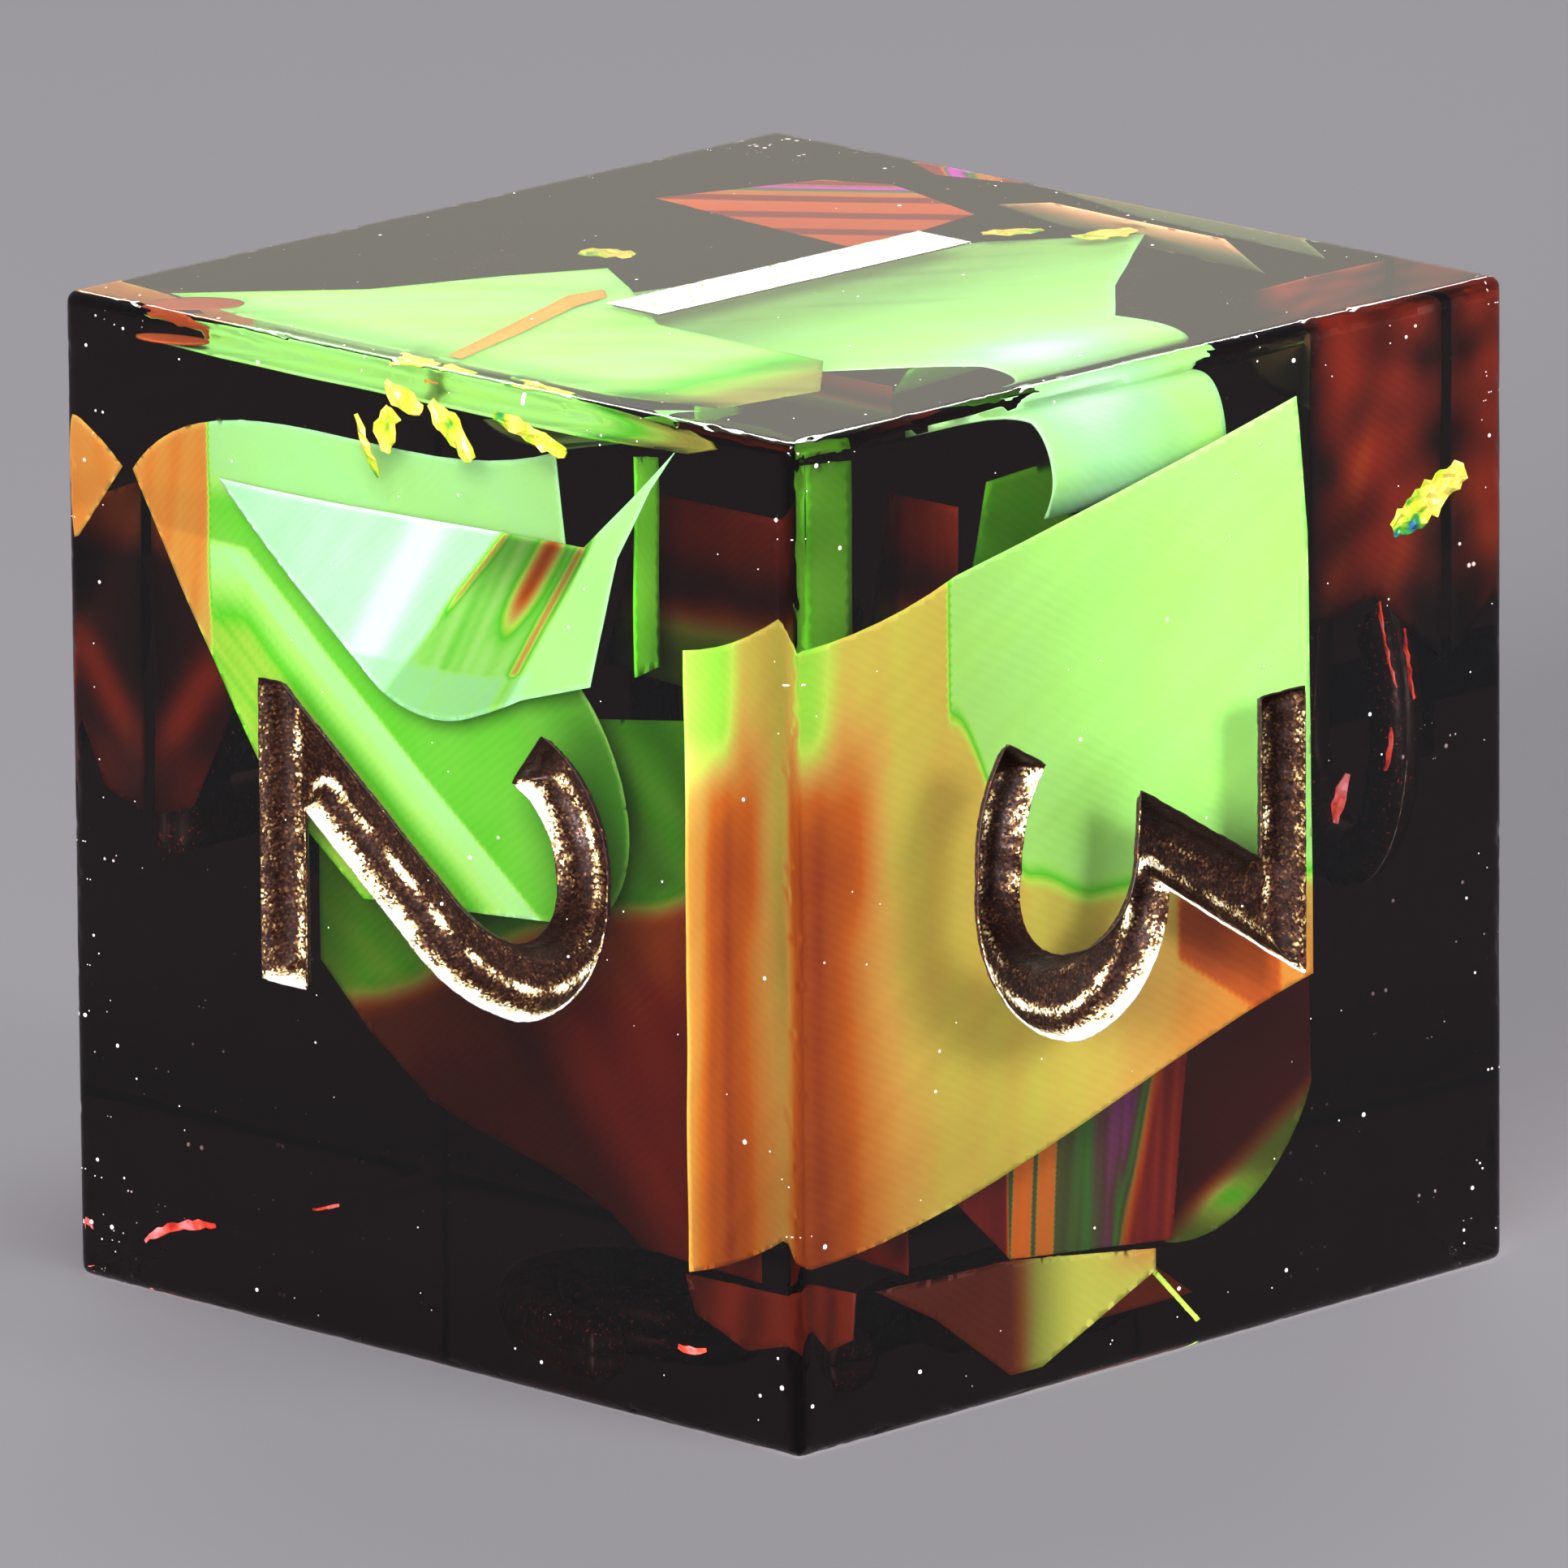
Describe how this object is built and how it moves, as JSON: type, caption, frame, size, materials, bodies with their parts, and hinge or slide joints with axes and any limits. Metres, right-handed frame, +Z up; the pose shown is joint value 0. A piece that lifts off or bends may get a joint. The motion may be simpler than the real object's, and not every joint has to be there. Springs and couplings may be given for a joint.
{
  "type": "six-sided die",
  "caption": "Sharp-edged clear resin cube die with engraved, metal-painted numerals and iridescent film cast inside.",
  "frame": {"origin": "middle of the bottom face, the one that carries the 6", "axes": "+Z up through the face that carries the 1, -Y out of the face that carries the 2, +X out of the face that carries the 3"},
  "size_m": [0.016, 0.016, 0.016],
  "materials": {
    "resin": "clear deep-maroon casting resin, polished",
    "metallic_paint": "coarse gold and copper metallic paint",
    "film_green": "iridescent film that reflects green",
    "film_green_orange": "iridescent film, green turning to orange and red",
    "film_mint": "iridescent film that reflects pale mint",
    "film_olive": "iridescent film seen dark, olive",
    "film_striped": "iridescent film, striped orange, green and violet",
    "film_gold": "iridescent film that reflects yellow-green",
    "film_red": "iridescent film seen dark red",
    "film_peach": "iridescent film, peach turning to green",
    "film_orange": "iridescent film that reflects orange",
    "foil": "bright crumpled film, yellow to green and blue",
    "red_thread": "bright red threads of film"
  },
  "bodies": {
    "root": {"resin_body": "resin", "numeral_1": "metallic_paint", "numeral_2": "metallic_paint", "numeral_3": "metallic_paint", "numeral_4": "metallic_paint", "numeral_5": "metallic_paint", "numeral_6": "metallic_paint", "left_sheet": "film_green", "inner_sheet": "film_green", "top_sheet": "film_green", "top_left_sheet": "film_green", "green_strip": "film_green", "dark_green_offcut": "film_green", "round_offcut": "film_green", "front_sheet": "film_green_orange", "mint_curl": "film_mint", "olive_sheet": "film_olive", "striped_offcut": "film_striped", "striped_top_sheet": "film_striped", "corner_offcut": "film_gold", "lower_sliver": "film_gold", "left_red_offcut": "film_red", "right_red_offcut": "film_red", "front_red_offcut": "film_red", "back_offcut": "film_peach", "orange_strip": "film_orange", "green_thread": "film_green", "red_disc": "film_red", "foil_flakes": "foil", "red_flecks": "red_thread"}
  },
  "joints": []
}
